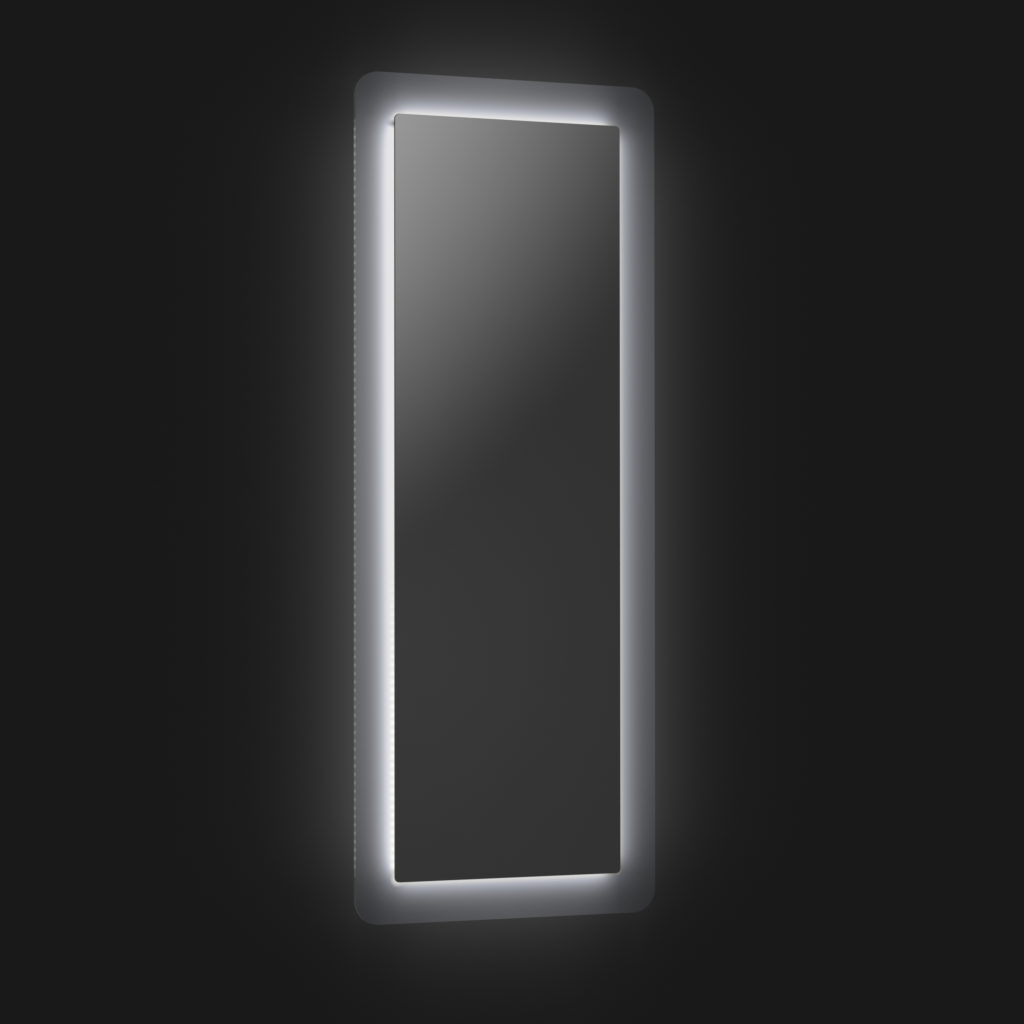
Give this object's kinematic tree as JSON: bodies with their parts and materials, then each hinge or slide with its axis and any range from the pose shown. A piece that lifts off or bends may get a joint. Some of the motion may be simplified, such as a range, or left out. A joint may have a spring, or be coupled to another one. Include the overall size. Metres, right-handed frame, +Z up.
{
  "type": "lighted mirror",
  "caption": "Tall wall-hung mirror pane on a larger edge-lit satin acrylic light frame, with an aluminium chassis, LED gear, hanging cleats and adjustable wall feet behind.",
  "frame": {"origin": "on the wall plane, midway between the two wall screws of the wall cleat", "axes": "+X to the right as seen from the room, +Y into the wall, +Z up; the pane faces -Y"},
  "size_m": [0.67, 0.0473, 1.7],
  "materials": {
    "silvered_glass": "silvered float glass, polished",
    "backing_film": "safety film over painted silvering",
    "satin_acrylic": "satin cast acrylic with polished edges, lit from its inner edge",
    "aluminium": "extruded, clear anodised",
    "zinc_steel": "zinc plated",
    "brass": "turned",
    "foam": "closed-cell foam tape",
    "coated_sheet": "powder coated folded sheet",
    "led_tape": "flexible circuit with white mask",
    "led_chip": "LED package, lit",
    "driver_case": "moulded",
    "grey_plastic": "moulded",
    "white_plastic": "moulded",
    "circuit_board": "glass-epoxy laminate",
    "component": "moulded and wound parts",
    "rubber": "moulded",
    "cable": "PVC sheath"
  },
  "bodies": {
    "wall_cleat": {"wall_cleat": "aluminium"},
    "mirror": {"backing_film": "backing_film", "cable_grommet": "rubber", "chassis_bottom": "aluminium", "chassis_left": "aluminium", "chassis_right": "aluminium", "chassis_top": "aluminium", "corner_jumpers": "led_tape", "corner_key_screws": "zinc_steel", "corner_keys": "aluminium", "crossbar_lower": "aluminium", "crossbar_screws": "zinc_steel", "crossbar_upper": "aluminium", "driver_board": "circuit_board", "driver_cap_led": "grey_plastic", "driver_cap_mains": "grey_plastic", "driver_case": "driver_case", "driver_components": "component", "driver_screws": "zinc_steel", "foot_inserts": "brass", "frame_screws": "zinc_steel", "gear_tray": "coated_sheet", "hanging_cleat": "aluminium", "hanging_screws": "zinc_steel", "lead_clips": "white_plastic", "lead_grommets": "rubber", "led_chips_bottom": "led_chip", "led_chips_left": "led_chip", "led_chips_right": "led_chip", "led_chips_top": "led_chip", "led_lead": "cable", "led_tape_bottom": "led_tape", "led_tape_left": "led_tape", "led_tape_right": "led_tape", "led_tape_top": "led_tape", "light_frame": "satin_acrylic", "mains_lead": "cable", "mirror_glass": "silvered_glass", "mounting_tape": "foam", "terminal_block": "white_plastic", "terminal_box": "grey_plastic", "terminal_lid": "grey_plastic", "terminal_lid_screws": "zinc_steel", "tray_screws": "zinc_steel"},
    "foot_pad_left": {"foot_pad_left": "rubber"},
    "foot_stem_left": {"foot_stem_left": "zinc_steel"},
    "foot_pad_right": {"foot_pad_right": "rubber"},
    "foot_stem_right": {"foot_stem_right": "zinc_steel"}
  },
  "joints": [
    {"name": "lift_off", "type": "slide", "parent": "wall_cleat", "child": "mirror", "axis": [0, 0, 1], "range_m": [0, 0.014]},
    {"name": "foot_left_reach", "type": "slide", "parent": "mirror", "child": "foot_pad_left", "axis": [0, 1, 0], "range_m": [-0.002, 0.006]},
    {"name": "foot_left_turn", "type": "hinge", "parent": "foot_pad_left", "child": "foot_stem_left", "pos_m": [-0.16, 0, -1.272], "axis": [0, 1, 0], "range_deg": [-720, 2160]},
    {"name": "foot_right_reach", "type": "slide", "parent": "mirror", "child": "foot_pad_right", "axis": [0, 1, 0], "range_m": [-0.002, 0.006]},
    {"name": "foot_right_turn", "type": "hinge", "parent": "foot_pad_right", "child": "foot_stem_right", "pos_m": [0.16, 0, -1.272], "axis": [0, 1, 0], "range_deg": [-720, 2160]}
  ],
  "couplings": [
    {"joint": "foot_left_reach", "follows": "foot_left_turn", "m_per_rad": 0.00015915},
    {"joint": "foot_right_reach", "follows": "foot_right_turn", "m_per_rad": 0.00015915}
  ]
}
